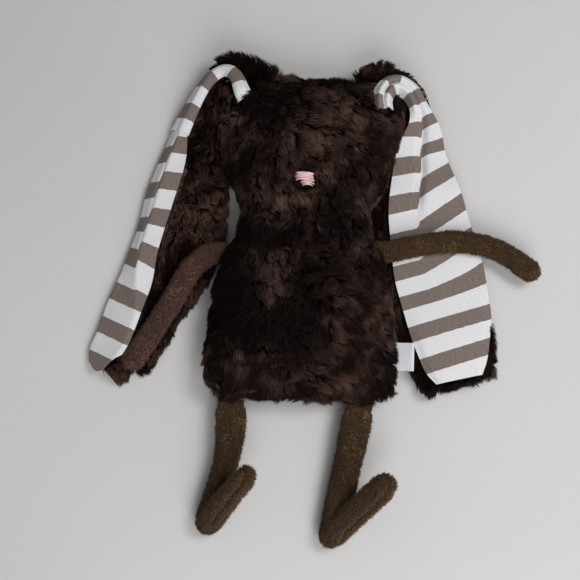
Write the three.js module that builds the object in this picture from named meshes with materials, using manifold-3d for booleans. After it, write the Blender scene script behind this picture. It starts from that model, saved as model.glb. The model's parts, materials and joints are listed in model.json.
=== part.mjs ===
// Floppy plush bunny lying on its back: a flat stuffed bag for head and body, two long lop ears with a
// striped lining, two flat fleece arms, two stocking legs with bent feet, a stitched nose and a side label.
// Millimetres. +Z is up, out of the belly, and the back rests on z = 0. +Y points to the head, and +X is
// to the right as seen from the front. y = 0 is half way up the bag.
import * as THREE from 'three';
import { mergeVertices } from 'three/addons/utils/BufferGeometryUtils.js';
import Module from 'manifold-3d';

const wasm = await Module();
wasm.setup();

// Bag of head and body: heights are measured up from the hem, widths across the seam
const BAG_HEIGHT = 262;
const HEM_WIDTH = 149;
const HEM_UP = 30;
const FLANK_WIDTH = 138;
const FLANK_UP = 96;
const NECK_WIDTH = 103;
const NECK_UP = 147;
const CHEEK_WIDTH = 132;
const CHEEK_UP = 180;
const HEAD_WIDTH = 154;
const HEAD_DOWN = 25;
const CORNER_RADIUS = 13;
const FRONT_RISE = 40;
const SEAM_HEIGHT = 18;
const BACK_PRESS = 2.2;
const SWELL_RUN = 72;
const NECK_PINCH = 0.1;
const SEAM_EDGE = 2.2;
const PLUSH = 7;

// Tufts of the plush on the front, which lie between waves given by their angle and their length in spacings
const TUFT_SPACING = 21;
const TUFT_DEPTH = 4.4;
const TUFT_FACET = 9.5;
const TUFT_WAVES = [[20, 1.5], [80, 1.2], [145, 1.35]];

// Clearances
const SEAM_GAP = 0.3;
const FILL_GAP = 0.5;
const ROOT_CLEAR = 0.6;
const HINGE_OUT = 3.2;
const ROOT_HALF = 1.5;
const ROOT_IN = 6;

// Ears
const LINING = 1.6;
const EAR_LENGTH = 242;
const EAR_WIDTH = 84;
const EAR_NECK = 25;
const EAR_OUT = 13;
const EAR_DOWN = 21;
const EAR_BASE_IN = 47;
const EAR_BASE_HALF = 10;
const EAR_BASE_RISE = 7;
const LINING_INSET = 6;
const ROLL_WIDTH = 26;

// Arms
const ARM_WIDTH = 18.5;
const ARM_THICK = 7;
const ARM_REACH = 130;
const ARM_LEFT_UP = 115;
const ARM_RIGHT_UP = 121;

// Legs
const HIP_LEFT = -52;
const HIP_RIGHT = 47.5;
const LEG_WIDTH = 20;
const LEG_THICK = 18;
const LEG_LENGTH = 96;
const FOOT_WIDTH = 21;
const FLEECE = 2.5;

// Nose and label
const NOSE_UP = 167;
const NOSE_X = -3;
const NOSE_WIDTH = 14;
const STITCH = 2.3;
const LABEL_UP = 37;
const LABEL_WIDTH = 22;
const LABEL_OUT = 15;
const RIBBON = 0.7;

const EAR_STACK = PLUSH + SEAM_GAP + LINING;
const ARM_REST = EAR_STACK + 1.1 + ARM_THICK / 2;
const HEM_Y = -BAG_HEIGHT / 2;

const bunny = new THREE.Group();
bunny.name = 'plush_bunny';

// Solids and meshes
function solidOf(geometry) {
  const plain = geometry.clone();
  plain.deleteAttribute('normal');
  plain.deleteAttribute('uv');
  const merged = mergeVertices(plain, 1e-4);
  return new wasm.Manifold(new wasm.Mesh({
    numProp: 3,
    vertProperties: new Float32Array(merged.attributes.position.array),
    triVerts: new Uint32Array(merged.index.array),
  }));
}

function geometryOf(solid) {
  const mesh = solid.getMesh();
  const geometry = new THREE.BufferGeometry();
  geometry.setAttribute('position', new THREE.BufferAttribute(mesh.vertProperties, 3));
  geometry.setIndex(new THREE.BufferAttribute(mesh.triVerts, 1));
  geometry.computeVertexNormals();
  return geometry;
}

// Adds one piece to a group whose origin is its hinge
function addPiece(group, name, solid, colour) {
  const at = group.position;
  const geometry = geometryOf(solid.translate([-at.x, -at.y, -at.z]));
  const material = new THREE.MeshStandardMaterial({ color: colour, roughness: 0.9 });
  const mesh = new THREE.Mesh(geometry, material);
  mesh.name = name;
  group.add(mesh);
}

function hingeGroup(name, x, y, z) {
  const group = new THREE.Group();
  group.name = name;
  group.position.set(x, y, z);
  bunny.add(group);
  return group;
}

// Skin over a row of stations, each an origin, two axes and an outline of the same number of points
function loft(stations) {
  const count = stations[0].outline.length;
  const points = [];
  for (const { origin, right, up, outline } of stations) {
    for (const p of outline) {
      const point = origin.clone().addScaledVector(right, p.x).addScaledVector(up, p.y);
      points.push(point.x, point.y, point.z);
    }
  }
  const faces = [];
  for (let i = 0; i + 1 < stations.length; i += 1) {
    for (let j = 0; j < count; j += 1) {
      const a = i * count + j;
      const b = i * count + (j + 1) % count;
      faces.push([a, b, b + count], [a, b + count, a + count]);
    }
  }
  for (const end of [0, stations.length - 1]) {
    const outline = stations[end].outline;
    const turn = Math.sign(THREE.ShapeUtils.area(outline)) * (end === 0 ? -1 : 1);
    for (const [a, b, c] of THREE.ShapeUtils.triangulateShape(outline, [])) {
      const corners = [outline[a], outline[b], outline[c]];
      const order = Math.sign(THREE.ShapeUtils.area(corners)) === turn ? [a, b, c] : [a, c, b];
      faces.push(order.map((k) => end * count + k));
    }
  }
  let volume = 0;
  const corner = (k) => new THREE.Vector3(points[3 * k], points[3 * k + 1], points[3 * k + 2]);
  for (const [a, b, c] of faces) {
    volume += corner(a).dot(corner(b).cross(corner(c)));
  }
  const index = faces.flatMap(([a, b, c]) => (volume > 0 ? [a, b, c] : [a, c, b]));
  const geometry = new THREE.BufferGeometry();
  geometry.setAttribute('position', new THREE.Float32BufferAttribute(points, 3));
  geometry.setIndex(index);
  return solidOf(geometry);
}

// Closed oval with its own height above and below the middle line
function oval(half, above, below, power, count) {
  const outline = [];
  for (let i = 0; i < count; i += 1) {
    const angle = (i / count) * 2 * Math.PI;
    const c = Math.cos(angle);
    const s = Math.sin(angle);
    const height = s > 0 ? above : below;
    const x = half * Math.sign(c) * Math.abs(c) ** (2 / power);
    outline.push(new THREE.Vector2(x, height * Math.sign(s) * Math.abs(s) ** (2 / power)));
  }
  return outline;
}

function smoothstep(edge0, edge1, x) {
  return THREE.MathUtils.smoothstep(x, edge0, edge1);
}

// Station on a path, its outline standing across the path and upright
function across(path, t, outline) {
  const origin = path.getPointAt(t);
  const along = path.getTangentAt(t);
  const right = along.clone().cross(new THREE.Vector3(0, 0, 1)).normalize();
  return { origin, right, up: right.clone().cross(along).normalize(), outline };
}

// Side line of the bag as half-width against height
const sideLine = new THREE.SplineCurve([
  new THREE.Vector2(HEM_WIDTH / 2 - 2, -1),
  new THREE.Vector2(HEM_WIDTH / 2, HEM_UP),
  new THREE.Vector2(FLANK_WIDTH / 2, FLANK_UP),
  new THREE.Vector2(NECK_WIDTH / 2, NECK_UP),
  new THREE.Vector2(CHEEK_WIDTH / 2, CHEEK_UP),
  new THREE.Vector2(HEAD_WIDTH / 2, BAG_HEIGHT - HEAD_DOWN),
  new THREE.Vector2(HEAD_WIDTH / 2 - 1, BAG_HEIGHT + 1),
]);

function halfWidth(up) {
  let low = 0;
  let high = 1;
  for (let i = 0; i < 40; i += 1) {
    const middle = (low + high) / 2;
    if (sideLine.getPoint(middle).y < up) low = middle;
    else high = middle;
  }
  const fromEnd = Math.min(up, BAG_HEIGHT - up);
  const cut = Math.max(CORNER_RADIUS - Math.max(fromEnd, 0), 0);
  return sideLine.getPoint(low).x - CORNER_RADIUS + Math.sqrt(CORNER_RADIUS ** 2 - cut ** 2);
}

// How far the bag has swelled at a height, 0 at the end seams and 1 over the middle
function swell(up) {
  const fromEnd = Math.max(Math.min(up, BAG_HEIGHT - up), 0);
  const rest = 1 - Math.min(fromEnd / SWELL_RUN, 1);
  const pinch = 1 - NECK_PINCH * Math.exp(-(((up - NECK_UP) / (BAG_HEIGHT * 0.1)) ** 2));
  return Math.sqrt(1 - rest ** 2.2) * pinch;
}

function frontRise(up) {
  return SEAM_EDGE + (FRONT_RISE - SEAM_EDGE) * swell(up);
}

function frontHeight(x, up) {
  const share = Math.abs(x / halfWidth(up)) ** 2.3;
  return SEAM_HEIGHT + frontRise(up) * (1 - share) ** (1 / 2.3);
}

// The bag with its skin moved in by a distance, or out if that is negative
function bag(inset, rings, count) {
  const stations = [];
  for (let i = 0; i <= rings; i += 1) {
    const share = (1 - Math.cos((Math.PI * i) / rings)) / 2;
    const up = share * BAG_HEIGHT;
    const y = HEM_Y + inset + share * (BAG_HEIGHT - 2 * inset);
    const deep = SEAM_EDGE + (SEAM_HEIGHT + BACK_PRESS - SEAM_EDGE) * swell(up);
    const above = Math.max(frontRise(up) - inset, 1);
    const below = Math.max(deep - inset, 1);
    stations.push({
      origin: new THREE.Vector3(0, y, SEAM_HEIGHT),
      right: new THREE.Vector3(1, 0, 0),
      up: new THREE.Vector3(0, 0, 1),
      outline: oval(halfWidth(up) - inset, above, below, 2.3, count),
    });
  }
  return loft(stations);
}

const bagOuter = bag(0, 18, 32);
const bagCutter = bag(-ROOT_CLEAR, 18, 32);
const bagCavity = bag(PLUSH, 12, 20);

// 0 on a tuft of the plush and 1 in the parting between tufts
function parting(x, y) {
  let sum = 0;
  for (const [degrees, length] of TUFT_WAVES) {
    const angle = THREE.MathUtils.degToRad(degrees);
    const run = x * Math.cos(angle) + y * Math.sin(angle);
    sum += Math.cos((2 * Math.PI * run) / (length * TUFT_SPACING));
  }
  return THREE.MathUtils.clamp(0.5 - sum / 4, 0, 1);
}

// The bag with partings pressed into its front, which fade towards the seams and round the nose
function tuftedBag() {
  return bagOuter.refineToLength(TUFT_FACET).warp((point) => {
    const [x, y, z] = point;
    const up = y - HEM_Y;
    const fromEnd = Math.min(up, BAG_HEIGHT - up);
    const fromNose = Math.hypot(x - NOSE_X, up - NOSE_UP);
    const share = smoothstep(0.2, 0.6, (z - SEAM_HEIGHT) / frontRise(up))
      * smoothstep(TUFT_SPACING, 2 * TUFT_SPACING, fromEnd)
      * smoothstep(NOSE_WIDTH * 0.7, NOSE_WIDTH * 1.6, fromNose);
    const outward = new THREE.Vector3(x / halfWidth(up) ** 2, 0, (z - SEAM_HEIGHT) / frontRise(up) ** 2);
    outward.setLength(TUFT_DEPTH * parting(x, y) * share);
    point[0] -= outward.x;
    point[2] -= outward.z;
  });
}

// Body
function buildBody() {
  const group = hingeGroup('body', 0, 0, 0);
  const front = tuftedBag().subtract(bagCavity).trimByPlane([0, 0, 1], SEAM_HEIGHT + SEAM_GAP / 2);
  const back = bagOuter.subtract(bagCavity)
    .trimByPlane([0, 0, -1], -(SEAM_HEIGHT - SEAM_GAP / 2)).trimByPlane([0, 0, 1], 0);
  addPiece(group, 'body_front_panel', front, 0x3a2a26);
  addPiece(group, 'body_back_panel', back, 0x332420);
  addPiece(group, 'body_stuffing', bag(PLUSH + FILL_GAP, 12, 20), 0xf2f0ea);
  addPiece(group, 'nose_embroidery', buildNose(), 0xe8b9b8);
  return group;
}

// Rows of satin stitches, the lower ones shorter and set to the right
function buildNose() {
  const shares = [1, 1, 0.94, 0.66, 0.6];
  let nose = null;
  shares.forEach((share, row) => {
    const up = NOSE_UP + (2 - row) * STITCH * 0.88;
    const length = NOSE_WIDTH * share - STITCH;
    const x = NOSE_X + (NOSE_WIDTH * (1 - share)) / 2;
    const stitch = new THREE.CapsuleGeometry(STITCH / 2, length, 2, 6);
    stitch.rotateZ(Math.PI / 2);
    stitch.translate(x, HEM_Y + up, frontHeight(x, up) + STITCH * 0.3);
    nose = nose ? nose.add(solidOf(stitch)) : solidOf(stitch);
  });
  return nose.subtract(bag(-SEAM_GAP, 18, 32));
}

// Ear pivots lie beside the top corners of the head, and the flaps lie on the floor
const earY = BAG_HEIGHT / 2 - EAR_DOWN;
const earX = HEAD_WIDTH / 2 + EAR_OUT;

// Middle line of an ear, its points given from the pivot in shares of the ear's length
function earSpine(side, shares) {
  const ends = shares.map(([x, y]) => {
    return new THREE.Vector3(side * earX + x * EAR_LENGTH, earY + y * EAR_LENGTH, 0);
  });
  return new THREE.CatmullRomCurve3([new THREE.Vector3(side * earX, earY + EAR_NECK / 2, 0), ...ends]);
}

// Half-width of an ear along its length: narrow neck, broad lower part, round tip
const earShape = new THREE.SplineCurve([
  new THREE.Vector2(0, EAR_NECK * 0.32),
  new THREE.Vector2(0.04, EAR_NECK * 0.48),
  new THREE.Vector2(0.14, EAR_NECK * 0.85),
  new THREE.Vector2(0.36, EAR_WIDTH * 0.42),
  new THREE.Vector2(0.6, EAR_WIDTH * 0.5),
  new THREE.Vector2(0.8, EAR_WIDTH * 0.46),
  new THREE.Vector2(0.93, EAR_WIDTH * 0.4),
  new THREE.Vector2(1, EAR_WIDTH * 0.27),
]);

function earSteps(rings) {
  const steps = [];
  for (let i = 0; i <= rings; i += 1) {
    steps.push(earShape.getPoint(i / rings));
  }
  return steps;
}

// Flat layer between two heights with eased edges
function flatLayer(half, low, high) {
  const ease = (high - low) * 0.3;
  return [
    new THREE.Vector2(-half + ease, low),
    new THREE.Vector2(half - ease, low),
    new THREE.Vector2(half, low + ease),
    new THREE.Vector2(half, high - ease),
    new THREE.Vector2(half - ease, high),
    new THREE.Vector2(-half + ease, high),
    new THREE.Vector2(-half, high - ease),
    new THREE.Vector2(-half, low + ease),
  ];
}

// Layer whose outer edge rolls up and over: a run to the edge, a turn and a flap lying back on the run.
// The outer edge is on the right of the way from the neck to the tip.
function rolledLayer(half, turn, flap, low, high, inset) {
  const radius = EAR_STACK + SEAM_GAP / 2;
  const middle = half - radius * Math.sin(Math.min(turn, Math.PI / 2));
  const edge = (depth, step) => {
    const angle = (turn * step) / 6;
    const reach = radius - depth;
    return new THREE.Vector2(middle + reach * Math.sin(angle), radius - reach * Math.cos(angle));
  };
  const end = (depth) => {
    const last = edge(depth, 6);
    return last.add(new THREE.Vector2(Math.cos(turn), Math.sin(turn)).multiplyScalar(flap));
  };
  const outline = [new THREE.Vector2(-half + inset, low)];
  for (let step = 0; step <= 6; step += 1) outline.push(edge(low, step));
  outline.push(end(low), end(high));
  for (let step = 6; step >= 0; step -= 1) outline.push(edge(high, step));
  outline.push(new THREE.Vector2(-half + inset, high));
  return outline;
}

// Root of an ear: a pleated roll from the top seam round the corner of the head to the neck of the flap
function buildEarBase(side) {
  const high = EAR_STACK + 0.5 + EAR_BASE_RISE;
  const top = BAG_HEIGHT / 2;
  const unit = EAR_BASE_HALF;
  const path = new THREE.CatmullRomCurve3([
    new THREE.Vector3(side * (EAR_BASE_IN - unit * 0.4), top - unit * 0.3, SEAM_HEIGHT + unit * 0.1),
    new THREE.Vector3(side * (EAR_BASE_IN + unit * 0.8), top + unit * 0.5, SEAM_HEIGHT + unit * 0.4),
    new THREE.Vector3(side * (HEAD_WIDTH / 2 - unit * 0.6), top + unit * 0.4, SEAM_HEIGHT + unit * 0.4),
    new THREE.Vector3(side * (HEAD_WIDTH / 2 + unit * 0.7), top - unit * 0.7, SEAM_HEIGHT + unit * 0.1),
    new THREE.Vector3(side * earX, earY - unit * 0.2, high),
  ]);
  const tube = [];
  const strip = [];
  for (let i = 0; i <= 8; i += 1) {
    const t = i / 8;
    const half = EAR_BASE_HALF * (1 + 0.25 * (1 - smoothstep(0, 0.5, t)));
    tube.push(across(path, t, oval(half, EAR_BASE_RISE, EAR_BASE_RISE, 2.4, 12)));
    if (i < 2) continue;
    const upper = [];
    const lower = [];
    for (let k = -3; k <= 3; k += 1) {
      const x = half * 0.24 * k;
      const v = EAR_BASE_RISE * (1 - Math.abs(x / half) ** 2.4) ** (1 / 2.4);
      lower.push(new THREE.Vector2(x, v + SEAM_GAP + 0.2));
      upper.unshift(new THREE.Vector2(x, v + SEAM_GAP + 0.2 + LINING));
    }
    strip.push(across(path, t, [...lower, ...upper]));
  }
  return { plush: loft(tube).subtract(bagCutter), lining: loft(strip).subtract(bagCutter) };
}

// Right ear: fur on the floor, striped lining on top
function buildRightEar(body) {
  const spine = earSpine(1, [[0, -0.14], [0.037, -0.405], [0.091, -0.653], [0.165, -0.942]]);
  const fur = earSteps(16).map(({ x: t, y: half }) => across(spine, t, flatLayer(half, 0, PLUSH)));
  const low = PLUSH + SEAM_GAP;
  const lining = earSteps(14).map(({ x: t, y: half }) => {
    const width = Math.max(half - LINING_INSET, EAR_NECK * 0.2);
    return across(spine, 0.02 + 0.95 * t, flatLayer(width, low, low + LINING));
  });
  const group = hingeGroup('ear_right', earX, earY, 0);
  addPiece(group, 'ear_right_flap_plush', loft(fur).subtract(bagCutter), 0x3a2a26);
  addPiece(group, 'ear_right_flap_lining', loft(lining).subtract(bagCutter), 0xd8d6d6);
  const base = buildEarBase(1);
  addPiece(body, 'ear_right_base_plush', base.plush, 0x3a2a26);
  addPiece(body, 'ear_right_base_lining', base.lining, 0xd8d6d6);
}

// Left ear: lining on the floor, fur on top, the outer edge rolled forward
function buildLeftEar(body) {
  const spine = earSpine(-1, [[-0.021, -0.227], [-0.05, -0.488], [-0.149, -0.719], [-0.248, -0.95]]);
  const roll = (t, half) => {
    const turn = Math.PI * smoothstep(0.06, 0.32, t);
    const most = Math.max(half * 1.2 - EAR_STACK, 1);
    const flap = Math.min(ROLL_WIDTH - EAR_STACK, most) * smoothstep(0.1, 0.38, t);
    return [Math.max(turn, 0.02), Math.max(flap * (1 - 0.35 * smoothstep(0.8, 1, t)), 0.6)];
  };
  const layer = (t, full, low, high, inset) => {
    const half = full - ROLL_WIDTH * 0.34 * smoothstep(0.35, 0.75, t);
    const [turn, flap] = roll(t, half);
    return across(spine, t, rolledLayer(half, turn, flap - inset * 0.2, low, high, inset));
  };
  const low = LINING + SEAM_GAP;
  const fur = earSteps(18).map(({ x: t, y: half }) => layer(t, half, low, low + PLUSH, 0));
  const lining = earSteps(18).slice(1, -1).map(({ x: t, y: half }) => layer(t, half, 0, LINING, 2));
  const group = hingeGroup('ear_left', -earX, earY, 0);
  addPiece(group, 'ear_left_flap_plush', loft(fur).subtract(bagCutter), 0x3a2a26);
  addPiece(group, 'ear_left_flap_lining', loft(lining).subtract(bagCutter), 0xd8d6d6);
  const base = buildEarBase(-1);
  addPiece(body, 'ear_left_base_plush', base.plush, 0x3a2a26);
  addPiece(body, 'ear_left_base_lining', base.lining, 0xd8d6d6);
}

// Flat fleece arm: two layers on a path from the side seam out over the ear, the path's points given from
// the seam in shares of the reach
function buildArm(name, side, up, shares, colour) {
  const edge = halfWidth(up);
  const y = HEM_Y + up;
  const path = new THREE.CatmullRomCurve3([
    new THREE.Vector3(side * (edge - ROOT_IN), y, SEAM_HEIGHT),
    new THREE.Vector3(side * (edge + HINGE_OUT), y, SEAM_HEIGHT),
    ...shares.map(([x, dy], i) => {
      const over = i === 0 ? (SEAM_HEIGHT - ARM_REST) * 0.3 : 0;
      return new THREE.Vector3(side * edge + x * ARM_REACH, y + dy * ARM_REACH, ARM_REST + over);
    }),
  ]);
  const length = path.getLength();
  const layers = [[], []];
  for (let i = 0; i <= 16; i += 1) {
    const t = i < 10 ? i * 0.093 : 1 - (0.07 * (1 + Math.cos((Math.PI * (i - 9)) / 7))) / 2;
    const toTip = Math.max((1 - t) * length, 0.25);
    const round = Math.min(toTip / (ARM_WIDTH / 2), 1);
    const half = (ARM_WIDTH / 2) * Math.sqrt(1 - (1 - round) ** 2);
    const fromHinge = t * length - ROOT_IN - HINGE_OUT;
    const full = ROOT_HALF + (ARM_THICK / 2 - ROOT_HALF) * smoothstep(0, ARM_WIDTH * 0.86, fromHinge);
    const thick = full * Math.sqrt(1 - (1 - Math.min(toTip / 5, 1)) ** 2);
    layers.forEach((layer, k) => {
      const outline = [];
      for (let j = 0; j <= 8; j += 1) {
        const angle = (Math.PI * j) / 8;
        const high = SEAM_GAP / 2 + thick * Math.sin(angle) ** 0.8;
        outline.push(new THREE.Vector2(half * Math.cos(angle), k ? -high : high));
      }
      layer.push(across(path, t, outline));
    });
  }
  const group = hingeGroup(name, side * (edge + HINGE_OUT), y, SEAM_HEIGHT);
  addPiece(group, `${name}_front_layer`, loft(layers[0]).subtract(bagCutter), colour);
  addPiece(group, `${name}_back_layer`, loft(layers[1]).subtract(bagCutter), colour);
}

// Stocking leg: a shin from the hem to the heel and a foot bent up from it, moved in by a distance
function legForm(hip, hinge, knee, heel, toe, inset) {
  const shin = new THREE.CatmullRomCurve3([hip, hinge, knee, heel]);
  const length = shin.getLength();
  const half = LEG_WIDTH / 2 - inset;
  const stations = [];
  const first = inset > 0 ? 0.2 + (inset - FLEECE) * 0.03 : 0;
  for (let i = 0; i <= 8; i += 1) {
    const t = first + (1 - first) * (i / 8);
    const fromHinge = t * length - ROOT_IN - HINGE_OUT;
    const full = ROOT_HALF + (LEG_THICK / 2 - ROOT_HALF) * smoothstep(0, LEG_WIDTH * 2.1, fromHinge);
    const thick = Math.max(full - inset, 0.8);
    const ease = inset > 0 && i === 0 ? 0.8 : 1;
    stations.push(across(shin, t, oval(half * ease, thick, thick, 2.2, 12)));
  }
  const foot = toe.clone().sub(heel);
  const along = foot.clone().normalize();
  const right = along.clone().cross(new THREE.Vector3(0, 0, 1)).normalize();
  const up = right.clone().cross(along);
  const radius = FOOT_WIDTH / 2 - inset;
  const reach = foot.length();
  const rounds = [];
  for (let i = 0; i <= 8; i += 1) {
    const share = (1 - Math.cos((Math.PI * i) / 8)) / 2;
    const at = -radius + share * (reach + 2 * radius);
    const over = Math.max(-at, at - reach, 0) / radius;
    const size = Math.sqrt(Math.max(1 - over ** 2, 0.02));
    rounds.push({
      origin: heel.clone().addScaledVector(along, at),
      right,
      up,
      outline: oval(radius * size, radius * size * 0.94, radius * size * 0.94, 2.1, 12),
    });
  }
  return loft(stations).add(loft(rounds));
}

// Knee, heel and toe are given in shares of the leg's length, across and along from the hinge and up from
// the floor
function buildLeg(name, hipX, shares, colour) {
  const hinge = new THREE.Vector3(hipX, HEM_Y - HINGE_OUT, SEAM_HEIGHT);
  const below = new THREE.Vector3(hinge.x, hinge.y, 0);
  const at = (share) => new THREE.Vector3(...share).multiplyScalar(LEG_LENGTH).add(below);
  const hip = new THREE.Vector3(hinge.x, HEM_Y + ROOT_IN, SEAM_HEIGHT);
  const [kneeAt, heelAt, toeAt] = shares.map(at);
  const outer = legForm(hip, hinge, kneeAt, heelAt, toeAt, 0).subtract(bagCutter).trimByPlane([0, 0, 1], 0);
  const shell = outer.subtract(legForm(hip, hinge, kneeAt, heelAt, toeAt, FLEECE));
  const normal = heelAt.clone().sub(hip).cross(toeAt.clone().sub(heelAt)).normalize();
  const offset = normal.dot(heelAt);
  const plus = normal.toArray();
  const minus = normal.clone().negate().toArray();
  const group = hingeGroup(name, hinge.x, hinge.y, hinge.z);
  addPiece(group, `${name}_outer_half`, shell.trimByPlane(plus, offset + SEAM_GAP / 2), colour);
  addPiece(group, `${name}_inner_half`, shell.trimByPlane(minus, -offset + SEAM_GAP / 2), colour);
  const fill = legForm(hip, hinge, kneeAt, heelAt, toeAt, FLEECE + FILL_GAP);
  addPiece(group, `${name}_stuffing`, fill, 0xf2f0ea);
}

// Folded ribbon label standing out of the right side seam
function buildLabel() {
  const edge = halfWidth(LABEL_UP);
  const y = HEM_Y + LABEL_UP;
  const loop = RIBBON * 1.5;
  const tail = LABEL_OUT * 0.27;
  const fork = RIBBON * 2.3;
  const shape = new THREE.Shape();
  shape.moveTo(-tail, -loop);
  shape.lineTo(LABEL_OUT - loop, -loop);
  shape.absarc(LABEL_OUT - loop, 0, loop, -Math.PI / 2, Math.PI / 2, false);
  shape.lineTo(-tail, loop);
  shape.lineTo(-tail, loop - RIBBON);
  shape.lineTo(LABEL_OUT - loop, loop - RIBBON);
  shape.absarc(LABEL_OUT - loop, 0, loop - RIBBON, Math.PI / 2, -Math.PI / 2, true);
  shape.lineTo(fork, -(loop - RIBBON));
  shape.lineTo(fork, 0);
  shape.lineTo(-tail, 0);
  const settings = { depth: LABEL_WIDTH, bevelEnabled: false, curveSegments: 6 };
  const ribbon = new THREE.ExtrudeGeometry(shape, settings);
  ribbon.translate(0, 0, -LABEL_WIDTH / 2);
  ribbon.rotateX(Math.PI / 2);
  ribbon.translate(edge, y, SEAM_HEIGHT);
  const group = hingeGroup('label', edge + HINGE_OUT / 2, y, SEAM_HEIGHT);
  addPiece(group, 'label_loop', solidOf(ribbon).subtract(bagCutter), 0xf4f4f6);
}

const body = buildBody();
buildLeftEar(body);
buildRightEar(body);
buildArm('arm_left', -1, ARM_LEFT_UP, [[-0.17, -0.06], [-0.34, -0.36], [-0.56, -0.74]], 0x4a352d);
const rightArm = [[0.23, 0.054], [0.477, 0.092], [0.73, 0.054], [1, -0.1]];
buildArm('arm_right', 1, ARM_RIGHT_UP, rightArm, 0x4d3a22);
const leftLeg = [[-0.01, -0.48, 0.135], [-0.135, -0.97, 0.104], [0.156, -0.594, 0.458]];
buildLeg('leg_left', HIP_LEFT, leftLeg, 0x4b3722);
const rightLeg = [[-0.062, -0.5, 0.135], [-0.177, -1.03, 0.104], [0.198, -0.615, 0.417]];
buildLeg('leg_right', HIP_RIGHT, rightLeg, 0x4b3722);
buildLabel();

export default bunny;
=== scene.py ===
# %% [markdown]
# # A floppy plush bunny
# The toy is a flat bag of long-pile plush with two lop ears, two fleece arms and two stocking legs. The
# solids of the CAD model give the size and the joints. Here every soft solid gets the cloth, pile and
# thread that the real one has. Lengths are in millimetres and become metres when they go into a mesh.

# %% Load the frame
import json
import math

import bpy
import numpy as np
from mathutils import Matrix, Vector

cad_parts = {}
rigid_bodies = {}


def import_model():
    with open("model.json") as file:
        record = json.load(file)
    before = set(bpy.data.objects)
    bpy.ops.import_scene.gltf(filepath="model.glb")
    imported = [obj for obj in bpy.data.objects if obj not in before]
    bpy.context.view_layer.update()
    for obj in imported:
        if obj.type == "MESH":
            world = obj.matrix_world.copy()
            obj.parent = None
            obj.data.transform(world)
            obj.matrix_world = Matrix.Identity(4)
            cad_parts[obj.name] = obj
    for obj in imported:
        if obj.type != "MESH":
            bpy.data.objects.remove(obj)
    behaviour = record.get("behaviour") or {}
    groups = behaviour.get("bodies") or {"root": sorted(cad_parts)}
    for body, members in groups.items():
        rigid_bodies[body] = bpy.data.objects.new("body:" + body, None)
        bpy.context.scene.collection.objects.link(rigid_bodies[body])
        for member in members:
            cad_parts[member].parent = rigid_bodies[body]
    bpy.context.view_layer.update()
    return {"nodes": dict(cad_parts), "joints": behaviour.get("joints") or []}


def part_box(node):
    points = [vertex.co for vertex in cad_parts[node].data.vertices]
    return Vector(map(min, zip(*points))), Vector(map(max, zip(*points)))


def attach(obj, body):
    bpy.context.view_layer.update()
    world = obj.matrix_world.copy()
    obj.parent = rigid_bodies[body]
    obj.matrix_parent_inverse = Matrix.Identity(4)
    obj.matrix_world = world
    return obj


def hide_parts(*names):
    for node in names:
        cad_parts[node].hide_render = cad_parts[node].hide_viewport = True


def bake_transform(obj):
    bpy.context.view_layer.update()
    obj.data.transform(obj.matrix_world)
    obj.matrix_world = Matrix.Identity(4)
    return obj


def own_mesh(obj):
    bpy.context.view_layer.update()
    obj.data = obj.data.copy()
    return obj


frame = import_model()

MM = 0.001
pivot = {j["child"]: np.array(j["pos_m"]) / MM for j in frame["joints"]}

# %% [markdown]
# ## Camera, floor and light
# The photograph looks almost straight down on the toy from beyond its feet, with the picture turned a
# little. A lens of 54 mm at 0.7 m gives the same perspective. The floor is plain and pale. A lamp high on
# the right makes the soft shadows, and a lamp beyond the feet and the sky fill them, so that a colour
# renders about as it is written.

# %% Camera
TARGET = np.array([-10.0, -44.0, 15.0])
ELEVATION = math.radians(80)
ROLL = math.radians(2.6)
DISTANCE = 700.0
FRAME_WIDTH = 464.0
SENSOR_WIDTH = 36.0


def added(name, data):
    """A new object with this data, in the scene."""
    item = bpy.data.objects.new(name, data)
    bpy.context.scene.collection.objects.link(item)
    return item


back = np.array([0, -math.cos(ELEVATION), math.sin(ELEVATION)])
level = np.array([1.0, 0, 0])
rise = np.cross(back, level)
right = math.cos(ROLL) * level + math.sin(ROLL) * rise
up = math.cos(ROLL) * rise - math.sin(ROLL) * level
eye = (TARGET + back * DISTANCE) * MM

lens = bpy.data.cameras.new("Camera")
lens.sensor_width = SENSOR_WIDTH
lens.lens = SENSOR_WIDTH * DISTANCE / FRAME_WIDTH
camera = added("Camera", lens)
camera.matrix_world = Matrix([[right[i], up[i], back[i], eye[i]] for i in range(3)] + [[0, 0, 0, 1]])
bpy.context.scene.camera = camera
bpy.context.scene.view_settings.view_transform = "Standard"
print("lens", round(lens.lens, 1), "mm")

# %% Tools for pieces
def clear():
    bpy.ops.object.select_all(action="DESELECT")


def pick(piece):
    clear()
    piece.select_set(True)
    bpy.context.view_layer.objects.active = piece


def finished(piece, kind, **settings):
    """Adds a modifier and applies it."""
    pick(piece)
    tool = piece.modifiers.new(kind.title(), kind)
    for name, value in settings.items():
        setattr(tool, name, value)
    bpy.ops.object.modifier_apply(modifier=tool.name)


def merged(pieces):
    """Joins pieces into the last of them."""
    clear()
    for piece in pieces:
        piece.select_set(True)
        bpy.context.view_layer.objects.active = piece
    if len(pieces) > 1:
        bpy.ops.object.join()
    return piece


def edited(job, **settings):
    """Does one job on all of the active mesh in edit mode."""
    bpy.ops.object.mode_set(mode="EDIT")
    bpy.ops.mesh.select_all(action="SELECT")
    job(**settings)
    bpy.ops.object.mode_set(mode="OBJECT")


def of_vertices(piece, kind):
    values = np.empty(len(piece.data.vertices) * 3)
    piece.data.vertices.foreach_get(kind, values)
    return values.reshape(-1, 3)


def points_of(piece):
    return of_vertices(piece, "co") / MM


def facing_of(piece):
    return of_vertices(piece, "normal")


def put_points(piece, points):
    piece.data.vertices.foreach_set("co", np.asarray(points, float).ravel() * MM)
    piece.data.update()


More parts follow.
